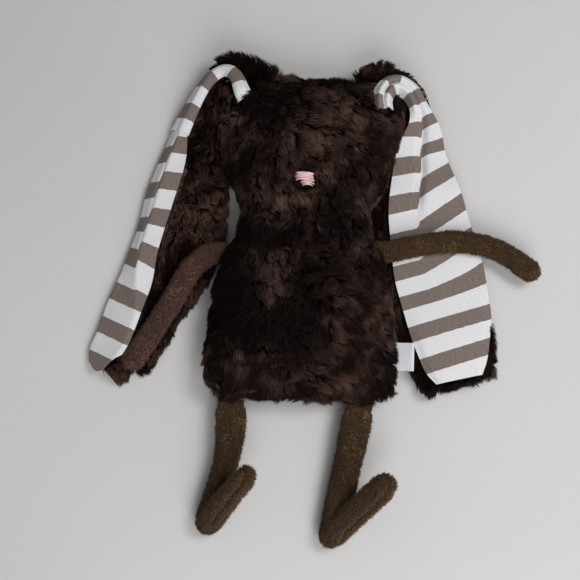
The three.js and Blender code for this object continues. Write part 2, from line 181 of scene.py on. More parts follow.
def ease(low, high, x):
    """A smooth step from 0 at low to 1 at high."""
    t = np.clip((x - low) / (high - low), 0, 1)
    return t * t * (3 - 2 * t)


def hump(x, middle, width):
    """1 at the middle, falling away to 0 over about this width on both sides."""
    return np.exp(-(((x - middle) / width) ** 2))


def unit(v):
    return v / np.maximum(np.linalg.norm(v, axis=-1, keepdims=True), 1e-9)


LATTICE_SIZE = 32
LATTICE = np.random.default_rng(3).uniform(-1, 1, (LATTICE_SIZE,) * 3 + (3,))


def noise_at(points, size):
    """Smooth random vectors that change over about this length."""
    cell = np.floor(points / size).astype(int)
    share = points / size - cell
    share = share * share * (3 - 2 * share)
    total = np.zeros(points.shape)
    for corner in np.ndindex(2, 2, 2):
        weight = np.prod(np.where(corner, share, 1 - share), axis=1, keepdims=True)
        total += weight * LATTICE[tuple(((cell + corner) % LATTICE_SIZE).T)]
    return total


def run_along(path):
    """The length of a path up to each of its points."""
    return np.concatenate([[0], np.cumsum(np.linalg.norm(np.diff(path, axis=0), axis=1))])


def curve_through(points, count):
    """Even steps along a smooth curve through the points, and its length."""
    p = np.asarray(points, float)
    ends = np.vstack([2 * p[0] - p[1], p, 2 * p[-1] - p[-2]])
    fine = []
    for a, b, c, d in zip(ends, ends[1:], ends[2:], ends[3:]):
        for t in np.linspace(0, 1, 40, endpoint=False):
            fine.append(0.5 * (2 * b + (c - a) * t + (2 * a - 5 * b + 4 * c - d) * t**2
                               + (3 * b - a - 3 * c + d) * t**3))
    fine = np.array(fine + [p[-1]])
    run = run_along(fine)
    steps = np.linspace(0, run[-1], count)
    return np.column_stack([np.interp(steps, run, fine[:, k]) for k in range(3)]), run[-1]


print("tools ready")

# %% [markdown]
# ## Shader expressions
# A finish is a small graph of nodes. The wire class lets a socket take part in Python expressions, so
# that `1 - mask` adds a Math node, and one method adds any other node with its settings and inputs.

# %% Shader tools
class Wire:
    def __init__(self, finish, socket):
        self.finish = finish
        self.socket = socket

    def maths(self, operation, first, second):
        return self.finish.add("Math", {0: first, 1: second}, operation=operation)

    def __add__(self, other):
        return self.maths("ADD", self, other)

    def __sub__(self, other):
        return self.maths("SUBTRACT", self, other)

    def __rsub__(self, other):
        return self.maths("SUBTRACT", other, self)

    def __mul__(self, other):
        return self.maths("MULTIPLY", self, other)

    def __truediv__(self, other):
        return self.maths("DIVIDE", self, other)

    __radd__ = __add__
    __rmul__ = __mul__


class Finish:
    """A material whose nodes are added one by one and end in a Principled shader."""

    def __init__(self, name):
        self.material = bpy.data.materials.new(name)
        self.material.use_nodes = True
        self.tree = self.material.node_tree
        self.shader = self.tree.nodes["Principled BSDF"]

    def feed(self, socket, value):
        if isinstance(value, Wire):
            self.tree.links.new(value.socket, socket)
        else:
            socket.default_value = value

    def add(self, kind, inputs=None, output=0, **settings):
        node = self.tree.nodes.new("ShaderNode" + kind)
        for name, value in settings.items():
            setattr(node, name, value)
        for name, value in (inputs or {}).items():
            self.feed(node.inputs[name], value)
        return Wire(self, node.outputs[output])

    def map_of(self, name):
        """A UV map of the piece and its two numbers."""
        places = self.add("UVMap", uv_map=name)
        return places, *(self.add("SeparateXYZ", {0: places}, output=k) for k in (0, 1))

    def sine(self, value, period):
        return self.add("Math", {0: value * (2 * math.pi / period)}, operation="SINE")

    def noise(self, scale, detail=2, at=None):
        at = at or self.add("TexCoord", output=3)
        return self.add("TexNoise", {"Vector": at, "Scale": scale, "Detail": detail})

    def mix(self, share, first, second):
        sides = {0: share, 6: first, 7: second}
        return self.add("Mix", sides, output=2, data_type="RGBA")

    def ramp(self, value, low, high):
        ends = {"Value": value, "From Min": low, "From Max": high}
        return self.add("MapRange", ends, interpolation_type="SMOOTHSTEP")

    def bump(self, height, strength, depth):
        return self.add("Bump", {"Height": height, "Strength": strength, "Distance": depth})

    def done(self, **inputs):
        for name, value in inputs.items():
            self.feed(self.shader.inputs[name.replace("_", " ")], value)
        return self.material


def colour(r, g, b):
    """A colour written as it looks, from 0 to 255, in the linear values that a shader takes."""
    shares = [c / 255 for c in (r, g, b)]
    return [s / 12.92 if s <= 0.04045 else ((s + 0.055) / 1.055) ** 2.4 for s in shares] + [1]


print("shader tools ready")

# %% Floor and lamps
FLOOR_SIZE = 8
FLOOR_LEVEL = -0.0006
BELLY = (0, -0.03, 0)
SKY_STRENGTH = 0.27

clear()
bpy.ops.mesh.primitive_plane_add(size=FLOOR_SIZE, location=(0, 0, FLOOR_LEVEL))
floor = bpy.context.active_object
floor.name = "floor"
pale = Finish("pale_floor")
cloud = pale.noise(3, 3)
tone = pale.mix(cloud, colour(208, 207, 206), colour(196, 195, 194))
floor.data.materials.append(pale.done(Base_Color=tone, Roughness=0.9, Specular_IOR_Level=0.1))


def lamp(name, place, size, power):
    """A square lamp that shines on the belly."""
    light = bpy.data.lights.new(name, "AREA")
    light.size = size
    light.energy = power
    holder = added(name, light)
    holder.location = place
    holder.rotation_euler = (Vector(BELLY) - Vector(place)).to_track_quat("-Z", "Y").to_euler()


lamp("key", (0.6, 0.15, 1.1), size=0.5, power=7)
lamp("fill", (0.3, -1.0, 0.9), size=0.9, power=11)
sky = bpy.data.worlds.new("sky")
sky.use_nodes = True
sky_light = sky.node_tree.nodes["Background"]
sky_light.inputs["Color"].default_value = (1, 1, 1, 1)
sky_light.inputs["Strength"].default_value = SKY_STRENGTH
bpy.context.scene.world = sky
print("floor, 2 lamps and sky")

# %% [markdown]
# ## Finishes
# The plush is a dark brown pile. Each lock is painted near black at its root, which is painted shade deep
# in the pile, and lighter at its tip, which is painted sheen; neighbouring locks differ. A lock keeps its
# shade and the way along it in its own UV map, so its colour is a function of that map alone. The cloth
# under the pile is a plain weave.

# %% Plush finishes
def plush_pile():
    pile = Finish("plush_pile")
    _, spot, along = pile.map_of("OFBake")
    # Painted shade at the root of each lock, growing into painted sheen towards its tip.
    dark = pile.mix(along, colour(9, 5, 4), colour(30, 19, 16))
    light = pile.mix(along, colour(28, 17, 14), colour(114, 86, 77))
    # The light colour is painted sheen; the shade number picks between it and the dark one.
    shade = pile.mix(pile.ramp(spot, 0.15, 0.95), dark, light)
    rough = 0.65 - 0.15 * along
    return pile.done(Base_Color=shade, Roughness=rough, Specular_IOR_Level=0.07)


def grainy(name, scale, detail, dark, light, strength, depth, **rest):
    """A cloth or yarn whose fine grain sets both its shade and its bumps."""
    finish = Finish(name)
    grain = finish.noise(scale, detail)
    shade = finish.mix(grain, dark, light)
    return finish.done(Base_Color=shade, Normal=finish.bump(grain, strength, depth), **rest)


pile_finish = plush_pile()
backing_finish = grainy("plush_backing", 900, 2, colour(14, 9, 7), colour(28, 18, 15), 0.5, 0.0006,
                        Roughness=0.95, Specular_IOR_Level=0.1)
print("plush finishes made")

# %% [markdown]
# The ear lining is striped cotton jersey: white about 16 mm and taupe about 14 mm wide. The stripes follow
# the cloth, so they read the sheet's own map, which counts millimetres across and along the ear. The
# courses of the knit run with the stripes, and the taupe yarn is heathered.

# %% Jersey finish
STRIPE_PERIOD = 30.0
WHITE_SHARE = 0.53
STRIPE_EDGE = 0.012
COURSE = 0.95
WALE = 0.8
FLOAT_WIDTH = 0.4


def striped_jersey():
    knit = Finish("striped_jersey")
    cloth_map, across, along = knit.map_of("Cloth")
    wander = knit.noise(0.25, 3, cloth_map) - 0.5
    period = (along + wander * 1.2) / STRIPE_PERIOD
    turn = knit.add("Math", {0: period}, operation="FRACT")
    start = knit.ramp(turn, 0, STRIPE_EDGE)
    stop = 1 - knit.ramp(turn, WHITE_SHARE, WHITE_SHARE + STRIPE_EDGE)
    white = start * stop
    stretched = knit.add("Mapping", {"Vector": cloth_map, "Scale": (0.35, 2.6, 1)})
    flecks = knit.noise(1.1, 4, stretched)
    taupe = knit.mix(knit.ramp(flecks, 0.3, 0.72), colour(100, 87, 81), colour(138, 125, 118))
    snow = knit.mix(knit.ramp(flecks, 0.3, 0.8), colour(212, 211, 213), colour(232, 231, 233))
    loops = knit.sine(along, COURSE) * 0.5 + knit.sine(across, WALE) * 0.5 + flecks * 1.4
    return knit.done(Base_Color=knit.mix(white, taupe, snow), Roughness=0.88, Specular_IOR_Level=0.2,
                     Sheen_Weight=0.1, Normal=knit.bump(loops, 0.35, 0.0004))


jersey_finish = striped_jersey()
print("jersey finish made")

# %% [markdown]
# Arms and legs are a short-nap fleece: a felted, slightly curly ground with lighter fibre ends. The left
# arm is a redder brown than the other limbs. The nose is mercerised thread and the label is blank satin
# ribbon.

# %% Fleece, thread and satin finishes
def fleece(name, deep, mid, tip):
    nap = Finish(name)
    curl = nap.noise(650, 3)
    patch = nap.noise(70, 2)
    shade = nap.mix(nap.ramp(curl, 0.32, 0.7), deep, mid)
    shade = nap.mix(nap.ramp(curl * 0.7 + patch * 0.5, 0.62, 0.82), shade, tip)
    return nap.done(Base_Color=shade, Roughness=0.96, Specular_IOR_Level=0.12, Sheen_Weight=0.12,
                    Normal=nap.bump(curl, 0.8, 0.0011))


def satin_ribbon():
    ribbon = Finish("blank_satin")
    _, across, _ = ribbon.map_of("Cloth")
    floats = ribbon.sine(across, FLOAT_WIDTH)
    cloud = ribbon.noise(90, 2)
    shade = ribbon.mix(cloud, colour(206, 206, 210), colour(222, 222, 226))
    return ribbon.done(Base_Color=shade, Roughness=0.38 + 0.12 * cloud, Sheen_Weight=0.1,
                       Normal=ribbon.bump(floats, 0.25, 0.0002))


fleece_brown = fleece("fleece_brown", colour(46, 31, 17), colour(76, 55, 33), colour(108, 82, 53))
fleece_red_brown = fleece("fleece_red_brown", colour(54, 35, 29), colour(88, 61, 52),
                          colour(122, 90, 78))
thread_finish = grainy("pink_thread", 420, 3, colour(214, 168, 167), colour(238, 206, 205), 0.4, 0.0003,
                       Roughness=0.5, Sheen_Weight=0.1)
satin_finish = satin_ribbon()
print("fleece, thread and satin finishes made")

# %% [markdown]
# ## Stuffed pieces
# The bag, the arms and the legs are sewn skins with filling. Each starts as a copy of its CAD solids, which
# a voxel remesh turns into one even skin, drawn in a little. A short cloth simulation with pressure then
# blows the skin up, no point further than a cap, and one subdivision smooths the result.

# %% Stuffed pieces
PRESSURE = 4
FRAMES = 20


def merged_copy(name, nodes):
    """A new mesh from CAD nodes, its loose triangles merged."""
    piece = merged([added(name, frame["nodes"][node].data.copy()) for node in nodes])
    piece.name = name
    piece.data.materials.clear()
    edited(bpy.ops.mesh.remove_doubles, threshold=1e-6)
    return piece


def outer_skin(piece):
    """Removes what the remesh left inside the outer skin, which has the lowest point of all."""
    lowest = int(points_of(piece)[:, 2].argmin())
    pick(piece)
    edited(bpy.ops.mesh.select_all, action="DESELECT")
    piece.data.vertices[lowest].select = True
    bpy.ops.object.mode_set(mode="EDIT")
    bpy.ops.mesh.select_linked()
    bpy.ops.mesh.select_all(action="INVERT")
    bpy.ops.mesh.delete(type="VERT")
    bpy.ops.object.mode_set(mode="OBJECT")


def blow_up(piece, cap):
    """Cloth with pressure, no point moving further than the cap."""
    before = points_of(piece)
    pick(piece)
    cloth = piece.modifiers.new("Filling", "CLOTH")
    cloth.settings.use_pressure = True
    cloth.settings.uniform_pressure_force = PRESSURE
    cloth.settings.effector_weights.gravity = 0
    cloth.collision_settings.use_collision = False
    for step in range(1, FRAMES + 1):
        bpy.context.scene.frame_set(step)
    bpy.ops.object.modifier_apply(modifier=cloth.name)
    bpy.context.scene.frame_set(1)
    moved = points_of(piece) - before
    far = np.linalg.norm(moved, axis=1, keepdims=True)
    put_points(piece, before + moved * np.minimum(1, cap / np.maximum(far, 1e-9)))
    return float(np.minimum(far, cap).mean())


def stuffed(name, nodes, finish, voxel, inset, cap, edge=None, relax=2):
    """A stuffed skin over CAD nodes, drawn in by an inset on its flats and by another at its edges."""
    piece = merged_copy(name, nodes)
    finished(piece, "REMESH", mode="VOXEL", voxel_size=voxel * MM)
    outer_skin(piece)
    finished(piece, "SMOOTH", factor=0.5, iterations=relax)
    facing = facing_of(piece)
    edge = inset if edge is None else edge
    depth = edge + (inset - edge) * facing[:, 2:] ** 2
    put_points(piece, points_of(piece) - facing * depth)
    grown = blow_up(piece, cap)
    finished(piece, "SUBSURF", levels=1, render_levels=1)
    piece.data.materials.append(finish)
    bpy.ops.object.shade_smooth()
    print(name, len(piece.data.polygons), "faces, grew", round(grown, 2), "mm")
    return piece


BAG_NODES = ["body_front_panel", "body_back_panel", "body_stuffing"]
body_bag = stuffed("body_bag", BAG_NODES, backing_finish, voxel=5, inset=4.5, cap=2.5, edge=1.5, relax=1)
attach(body_bag, "body")
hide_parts("body_front_panel", "body_back_panel", "body_stuffing")

# %% [markdown]
# ## Pile
# Real plush pile is thousands of fibres that lie over each other in small locks. A particle system would
# not leave this file, so each lock is modelled: a closed, tapered, three-sided spike with one bend. Roots
# are scattered over a skin. Smooth noise turns the combed direction from place to place, and the tips of
# neighbours are drawn together in tufts, which gives the mottled look of handled plush.

# %% Planting pile
def scatter(piece, per_square_mm, seed):
    """Random roots on a skin, and which way is out at each."""
    piece.data.calc_loop_triangles()
    triangles = piece.data.loop_triangles
    corners = np.empty(len(triangles) * 3, np.int32)
    triangles.foreach_get("vertices", corners)
    corners = points_of(piece)[corners.reshape(-1, 3)]
    out = np.cross(corners[:, 1] - corners[:, 0], corners[:, 2] - corners[:, 0])
    area = np.linalg.norm(out, axis=1) / 2
    dice = np.random.default_rng(seed)
    face = dice.choice(len(area), int(area.sum() * per_square_mm), p=area / area.sum())
    a, b = dice.random((2, len(face), 1))
    a, b = np.where(a + b > 1, 1 - a, a), np.where(a + b > 1, 1 - b, b)
    base = corners[face]
    roots = base[:, 0] + a * (base[:, 1] - base[:, 0]) + b * (base[:, 2] - base[:, 0])
    return roots, unit(out[face])


def tufts(roots, size):
    """The number of the tuft that each root belongs to, the tufts being about this wide."""
    cells = np.floor((roots + noise_at(roots, size * 1.3) * size) / size).astype(int)
    return np.unique(cells, axis=0, return_inverse=True)[1].ravel()


def drawn(tips, tuft_of, pull):
    """Draws the tips of each tuft together."""
    count = np.bincount(tuft_of)
    middle = np.column_stack([np.bincount(tuft_of, tips[:, k]) / count for k in range(3)])
    return tips + (middle[tuft_of] - tips) * pull[:, None]


def spike_faces(rings):
    """Corners of a closed three-sided spike with this many rings under its tip."""
    faces = [(2, 1, 0)]
    tip = 3 * rings
    for low in range(0, tip, 3):
        for turn in range(3):
            a, b = low + turn, low + (turn + 1) % 3
            faces.append((a, b, b + 3, a + 3) if low + 3 < tip else (a, b, tip))
    return faces


THIRD_TURN = 2.0944


def spikes(name, rings, tips, width, shade, finish):
    """One mesh of spikes. The map's first axis is a spike's shade and its second the way along it."""
    n = len(tips)
    size = 3 * len(rings) + 1
    stops = [*rings, tips]
    spots = np.empty((n, size, 3))
    for k, ring in enumerate(rings):
        along = unit(stops[k + 1] - ring)
        side = unit(np.cross(along, unit(noise_at(rings[0], 1.7)) + [0.01, 0.02, 0.03]))
        other = np.cross(along, side)
        for turn in range(3):
            around = math.cos(THIRD_TURN * turn) * side + math.sin(THIRD_TURN * turn) * other
            spots[:, 3 * k + turn] = ring + around * (width * (0.5 - 0.12 * k))[:, None]
    spots[:, -1] = tips
    faces = spike_faces(len(rings))
    corner = np.concatenate(faces)
    starts = np.cumsum([0] + [len(f) for f in faces[:-1]])
    mesh = bpy.data.meshes.new(name)
    mesh.vertices.add(n * size)
    mesh.vertices.foreach_set("co", spots.ravel() * MM)
    mesh.loops.add(n * len(corner))
    mesh.loops.foreach_set("vertex_index", (np.arange(n)[:, None] * size + corner).ravel())
    mesh.polygons.add(n * len(faces))
    mesh.polygons.foreach_set("loop_start", (np.arange(n)[:, None] * len(corner) + starts).ravel())
    mesh.update(calc_edges=True)
    level = np.repeat(np.arange(len(rings)) / len(rings), 3)
    step_v = np.append(level, 1)[corner] * 0.96 + 0.02
    step_v[2] = 0.005
    step_u = np.append(np.tile([0, 0.006, -0.006], len(rings)), 0)[corner]
    places = np.empty((n, len(corner), 2))
    places[:, :, 0] = np.clip(shade, 0.02, 0.98)[:, None] + step_u
    places[:, :, 1] = step_v
    mesh.uv_layers.new(name="OFBake").data.foreach_set("uv", places.ravel())
    mesh.materials.append(finish)
    mesh.shade_smooth()
    print(name, n, "spikes")
    return added(name, mesh)


LOCK_WIDTH = 0.74
TUFT_PULL = 0.42
FLOOR_GAP = 0.4


def pile(name, roots, out, comb, length, lift, seed, tuft=9, swirl=1.1, tone=0):
    """Plush pile: combed along the skin, lifted off it, swirled by noise and drawn into tufts."""
    dice = np.random.default_rng(seed)
    n = len(roots)
    tuft_of = tufts(roots, tuft)
    whim = dice.normal(0, 1, (tuft_of.max() + 1, 3))[tuft_of]
    mood = noise_at(roots, 24)
    small = noise_at(roots + 60, 7)
    comb = unit(comb + mood * swirl + small * 0.45 + whim * 0.3 + dice.normal(0, 0.14, (n, 3)))
    comb = unit(comb - (comb * out).sum(1, keepdims=True) * out)
    stand = np.clip(lift + 0.15 * small[:, :1] + 0.12 * whim[:, :1], 0.15, 1.8)
    way = unit(comb + out * stand)
    reach = (length * (0.8 + 0.35 * dice.random(n)))[:, None]
    bends = roots + way * reach * 0.52
    fall = unit(way + comb * 0.55 + dice.normal(0, 0.12, (n, 3)))
    tips = drawn(bends + fall * reach * 0.52, tuft_of, TUFT_PULL * (0.55 + 0.6 * dice.random(n)))
    bends[:, 2] = np.maximum(bends[:, 2], FLOOR_GAP + 0.3)
    tips[:, 2] = np.maximum(tips[:, 2], FLOOR_GAP)
    # The shade is random tone and painted sheen: smooth noise makes lighter patches where the pile would
    # catch the light.
    shade = 0.24 + 0.42 * mood[:, 0] + 0.25 * small[:, 1] + 0.1 * whim[:, 2]
    shade = shade + dice.normal(0, 0.1, n) + tone
    thick = LOCK_WIDTH * (0.75 + 0.5 * dice.random(n))
    return spikes(name, [roots, bends], tips, thick, shade, pile_finish)


def gap_to(points, path):
    """How far points lie from a path, seen from above."""
    return np.min([np.linalg.norm(points[:, :2] - spot[:2], axis=1) for spot in path], axis=0)


print("pile tools ready")

# %% [markdown]
# ## Pile on the bag
# The pile is combed down the front and out over the sides. It stands up along the top of the head, longest
# beside the roots of the ears, and is pressed flat under the back. It stops at the nose and under the ear
# linings, whose arches over the corners of the head are drawn here as points on their middle lines. The
# pile beside the label is a piece of its own, which the label presses flat when it is folded over.

# %% Pile on the bag
RIGHT_ARCH = [(58.6, 102, 40), (57.3, 111, 42.5), (61.6, 121.8, 38.5), (70, 127.5, 34),
              (79.5, 123.5, 31.5), (85, 114.5, 29), (88.5, 104, 25), (90.5, 92, 16.5)]
LEFT_ARCH = [(-53, 105.7, 39), (-56.4, 112.3, 42), (-62.3, 126.1, 38), (-70.1, 131.8, 34),
             (-77.5, 130, 31.5), (-84.6, 122.7, 29.5), (-91.6, 110.8, 26), (-98.5, 97.4, 20),
             (-104.5, 83.8, 15)]
NOSE = np.array([-3.0, 36.0])
NOSE_REACH = (8.5, 6)
PILE_LENGTH = 9.5
UNDERSIDE = -0.45
UNDER_SHARE = 0.26
# The pile beside the label: the way it is pressed, how far out it starts, and where it lies along the side.
FOLDED_LABEL = np.array([0.89, 0, 0.456])
LABEL_DEPTH = 70.5
LABEL_Y = -94
LABEL_HALF = 19
BANDS = {"crown": (78, 200), "face": (28, 78), "chest": (-28, 28), "belly": (-82, -28), "hem": (-200, -82)}
TUFT_SPACING = 21.0
TUFT_WAVES = [(20, 1.5), (80, 1.2), (145, 1.35)]


def parting(points):
    """0 on a tuft of the plush and 1 in the parting between tufts, as in the CAD model."""
    total = 0
    for degrees, size in TUFT_WAVES:
        angle = math.radians(degrees)
        run = points[:, 0] * math.cos(angle) + points[:, 1] * math.sin(angle)
        total = total + np.cos(2 * math.pi * run / (size * TUFT_SPACING))
    return np.clip(0.5 - total / 4, 0, 1)


# Each patch of painted sheen has a place, a radius and a strength: lighter where the pile catches the
# light, darker over the belly.
SHEEN_PATCHES = [(44, -8, 20, 0.3), (-34, -116, 30, 0.2), (-18, 92, 24, 0.15), (-5, -62, 45, -0.2)]


def painted_sheen(points):
    """Painted sheen in patches: lighter where the pile catches the light, and one darker patch over the
    belly.
    """
    total = 0
    for x, y, radius, strength in SHEEN_PATCHES:
        total = total + strength * hump(np.hypot(points[:, 0] - x, points[:, 1] - y), 0, radius)
    return total


right_arch, _ = curve_through(RIGHT_ARCH, 40)
left_arch, _ = curve_through(LEFT_ARCH, 40)
skin, out = scatter(body_bag, per_square_mm=1.8, seed=11)
dice = np.random.default_rng(5)
under = out[:, 2] < UNDERSIDE
to_nose = np.hypot(*((skin[:, :2] - NOSE) / NOSE_REACH).T) + 9 * (skin[:, 2] < 30)
covered = (gap_to(skin, right_arch) < 4.5) | (gap_to(skin, left_arch[:24]) < 3)
keep = (to_nose > 1) & ~covered & (~under | (dice.random(len(skin)) < UNDER_SHARE))
skin, out, under, to_nose = (v[keep] for v in (skin, out, under, to_nose))
crest = ease(102, 126, skin[:, 1] + 9 * noise_at(skin, 26)[:, 0])
comb = np.column_stack([skin[:, 0] / 130, 2 * crest - 1, 0 * crest])
length = PILE_LENGTH * (1 - 0.35 * under) * np.where(to_nose < 1.7, 0.55, 1)
length += 5 * crest * hump(skin[:, 0], -32, 18) + 3 * crest * hump(skin[:, 0], 38, 16)
length += 2.5 * (1 - ease(-124, -112, skin[:, 1]))
lift = np.where(under, 0.25, 0.95 - 0.5 * parting(skin))[:, None]
beside = ~under & (skin @ FOLDED_LABEL > LABEL_DEPTH) & (np.abs(skin[:, 1] - LABEL_Y) < LABEL_HALF)
zones = {}
for name, (low, high) in BANDS.items():
    zones[f"pile_{name}"] = ~under & ~beside & (skin[:, 1] > low) & (skin[:, 1] <= high)
zones["pile_back"] = under
zones["pile_beside_label"] = beside
# The tone of the pile on the bag is painted sheen in patches.
for number, (name, zone) in enumerate(zones.items()):
    parts = (v[zone] for v in (skin, out, comb, length, lift))
    piece = pile(name, *parts, seed=20 + number, tone=painted_sheen(skin[zone]))
    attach(piece, "body")
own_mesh(piece)

# %% [markdown]
# ## Ears
# An ear is two layers sewn together: plush and striped jersey. Each layer starts as a grid primitive whose
# points are laid on the ear, row by row along its middle line, and gets its thickness from Solidify. The
# map of the jersey counts millimetres, so the stripes keep their width where it is gathered or folded.

# %% Ear tools
EAR_LENGTH = 242.0
# The half width of an ear at shares of its length.
EAR_HALF = [(0, 8), (0.04, 12), (0.14, 21.3), (0.36, 35.3), (0.6, 42), (0.8, 38.6), (0.93, 33.6),
            (1, 22.7)]
JERSEY = 0.9


def from_table(table, x):
    """A smooth curve through the pairs of a table."""
    spots, values = np.array(table, float).T
    fine = np.interp(np.linspace(0, 1, 201), spots, values)
    soft = np.convolve(np.pad(fine, 8, mode="edge"), np.ones(17) / 17, mode="valid")
    return np.interp(x, np.linspace(0, 1, 201), soft)


def ear_spine(side, shares):
    x, y, _ = pivot["ear_right" if side > 0 else "ear_left"]
    return [(x, y + 12.5, 0)] + [(x + a * EAR_LENGTH, y + b * EAR_LENGTH, 0) for a, b in shares]


def rightward(path):
    """The level way to the right of a path, at each of its points."""
    x, y = unit(np.gradient(path, axis=0)[:, :2]).T
    return np.column_stack([y, -x, 0 * x])


def cloth(name, rows, finish, thick):
    """A sheet from rows of points, (rows, columns, 5): place and the two numbers of its cloth map."""
    tall, wide = rows.shape[:2]
    clear()
    bpy.ops.mesh.primitive_grid_add(x_subdivisions=wide - 1, y_subdivisions=tall - 1, size=2)
    piece = bpy.context.active_object
    piece.name = name
    grid = points_of(piece) * MM
    column = np.rint((grid[:, 0] + 1) / 2 * (wide - 1)).astype(int)
    row = np.rint((grid[:, 1] + 1) / 2 * (tall - 1)).astype(int)
    put_points(piece, rows[row, column, :3])
    mesh = piece.data
    while mesh.uv_layers:
        mesh.uv_layers.remove(mesh.uv_layers[0])
    corner = np.empty(len(mesh.loops), np.int32)
    mesh.loops.foreach_get("vertex_index", corner)
    places = rows[row, column, 3:][corner]
    mesh.uv_layers.new(name="Cloth").data.foreach_set("uv", places.ravel())
    area = sum(p.area for p in mesh.polygons)
    finished(piece, "SOLIDIFY", thickness=thick * MM, offset=0)
    edited(bpy.ops.mesh.normals_make_consistent, inside=False)
    mesh.materials.append(finish)
    bpy.ops.object.shade_smooth_by_angle(angle=math.radians(50))
    print(name, len(mesh.polygons), "faces,", round(area * 1e6), "mm2 of cloth")
    return piece, area


def strips(path, low, high, columns):
    """Rows of points across a path, from low to high millimetres to its right, with their cloth map."""
    reach = low[:, None] + (high - low)[:, None] * np.linspace(0, 1, columns)
    rows = np.zeros((len(path), columns, 5))
    rows[:, :, :3] = path[:, None] + rightward(path)[:, None] * reach[:, :, None]
    rows[:, :, 3] = reach
    rows[:, :, 4] = run_along(path)[:, None]
    return rows


def bend_ear(piece):
    """Applies the piece's transform to its mesh."""
    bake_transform(piece)


print("ear tools ready")

# %% [markdown]
# ### Right ear
# The lining faces up. It starts as a gathered arch over the corner of the head, opens into the broad flap
# and has a soft lengthwise fold, across which the stripes jump and right of which they climb more steeply.
# Plush shows as a fringe along the inner edge and round the tip, where the pile below sticks out.

# %% Right ear lining
RIGHT_SHARES = [(0, -0.14), (0.037, -0.405), (0.091, -0.653), (0.165, -0.942)]
RIGHT_END = 0.962
RIGHT_COLUMNS = 45
ARCH_FOOT = 73
LINING_HEIGHT = 8.6
# At shares of the length: where the fold runs, how far the stripes jump there and where they start.
FOLD = ([0.1, 0.24, 0.37, 0.5], [-2.5, -3.5, 3, 7.7])
STRIPE_JUMP = ([0.02, 0.2, 0.32, 0.43, 0.52, 0.62], [0, 12.5, 9, 4.5, 2, 0])
STRIPE_START = ([0.45, 0.607, 0.7, 0.803, 0.912, 1], [3, 9.5, 15, 18.8, 21.7, 23.5])
right_spine, right_run = curve_through(ear_spine(1, RIGHT_SHARES), 200)


def right_lining():
    low_part = right_spine[right_spine[:, 1] < ARCH_FOOT] + [0, 0, LINING_HEIGHT]
    path, run = curve_through([*RIGHT_ARCH, *low_part[::24], low_part[-1]], 190)
    s = np.linspace(0, run, len(path))
    t = 1 - (run - s) / right_run
    path, s, t = (v[t < RIGHT_END] for v in (path, s, t))
    flap = ease(-0.06, 0.12, t)
    half = from_table(EAR_HALF, t)
    inner = 8 + (half - 7 - 2 * ease(0.3, 0.6, t) - 8) * flap
    outer = 8.5 + (half - 1 - 7.5 * ease(0.76, 0.96, t) - 8.5) * flap
    tip = 0.86 + 0.14 * np.sqrt(np.clip((0.985 - t) / 0.06, 0, 1))
    rows = strips(path, -outer * tip, inner * tip, RIGHT_COLUMNS)
    s, t, flap = (v[:, None] for v in (s, t, flap))
    height, reach, stripes = (rows[:, :, k] for k in (2, 3, 4))
    share = np.linspace(-1, 1, RIGHT_COLUMNS)
    steep = 1 - ease(0.5, 0.75, t)
    fold = np.interp(t, *FOLD)
    stripes += flap * (0.1 * -reach + 0.38 * steep * np.maximum(fold - reach, 0)) + 2
    stripes += np.interp(t, *STRIPE_JUMP) * ease(-0.6, 0.6, fold - reach)
    stripes += np.interp(t, *STRIPE_START) - 16 * (1 - ease(0, 85, s))
    stripes += 13 * (ease(0, 0.1, share) * (1 - ease(24, 42, s)))
    height += (1 - flap) * (2.2 - 6.5 * share**4 + 1.7 * np.cos(share * 7.5 + 2.77))
    dent = 1.3 * hump(reach, fold, 3.5)
    height += flap * (1 - ease(0.32, 0.42, t)) * (2.6 - 3.4 * dent)
    wave = np.sin(t * 31 + 1) * np.cos(reach / 9 + 2 * t)
    height += 0.35 * flap * wave
    edge = ease(0.75, 1, np.abs(share))
    height += ease(0.66, 0.85, t) * (1.4 + 0.8 * np.sin(reach / 12 + 1) - 2.4 * edge)
    return rows


ear_right_lining, area = cloth("ear_right_lining", right_lining(), jersey_finish, JERSEY)
bend_ear(ear_right_lining)
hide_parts("ear_right_flap_lining", "ear_right_base_lining")

# %% Right ear plush
PLUSH_END = -112
PLUSH_HEIGHT = 5
kept = right_spine[:, 1] > PLUSH_END
t = np.linspace(0, 1, len(right_spine))[kept]
half = from_table(EAR_HALF, t)
swell = 6 * hump(t, 0.4, 0.12)
rows = strips(right_spine[kept] + [0, 0, PLUSH_HEIGHT], -(half - 3), half - 2.5 + swell, 31)
rows[:, :, 2] += 6 * (1 - ease(0, 0.16, t))[:, None]
ear_right_plush, plush_area = cloth("ear_right_plush", rows, backing_finish, thick=1.6)
bend_ear(ear_right_plush)
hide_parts("ear_right_flap_plush")

UP = np.array([0, 0, 1.0])


def fringe(edge, inner, count, seed, inset):
    """Roots along an edge of a sheet, the ways out of it and along it, and how far along it they are."""
    dice = np.random.default_rng(seed)
    edge, inner = edge[:, :3], inner[:, :3]
    at = dice.random(count) * (len(edge) - 1)
    low = np.floor(at).astype(int)
    share = (at - low)[:, None]
    spot = edge[low] * (1 - share) + edge[np.minimum(low + 1, len(edge) - 1)] * share
    outward = unit(edge - inner)[low]
    along = unit(np.gradient(edge, axis=0))[low]
    roots = spot - outward * (dice.random((count, 1)) * inset)
    return roots, outward, along, at / (len(edge) - 1)


def raised(spots, dice, spread, drop):
    """Roots moved up or down by chance, so that a fringe has depth."""
    return spots + UP * (dice.random((len(spots), 1)) * spread - drop)


def joined(parts):
    """Joins the roots, the ways out, the combing and the lengths of several parts."""
    return [np.concatenate(column) for column in zip(*parts)]


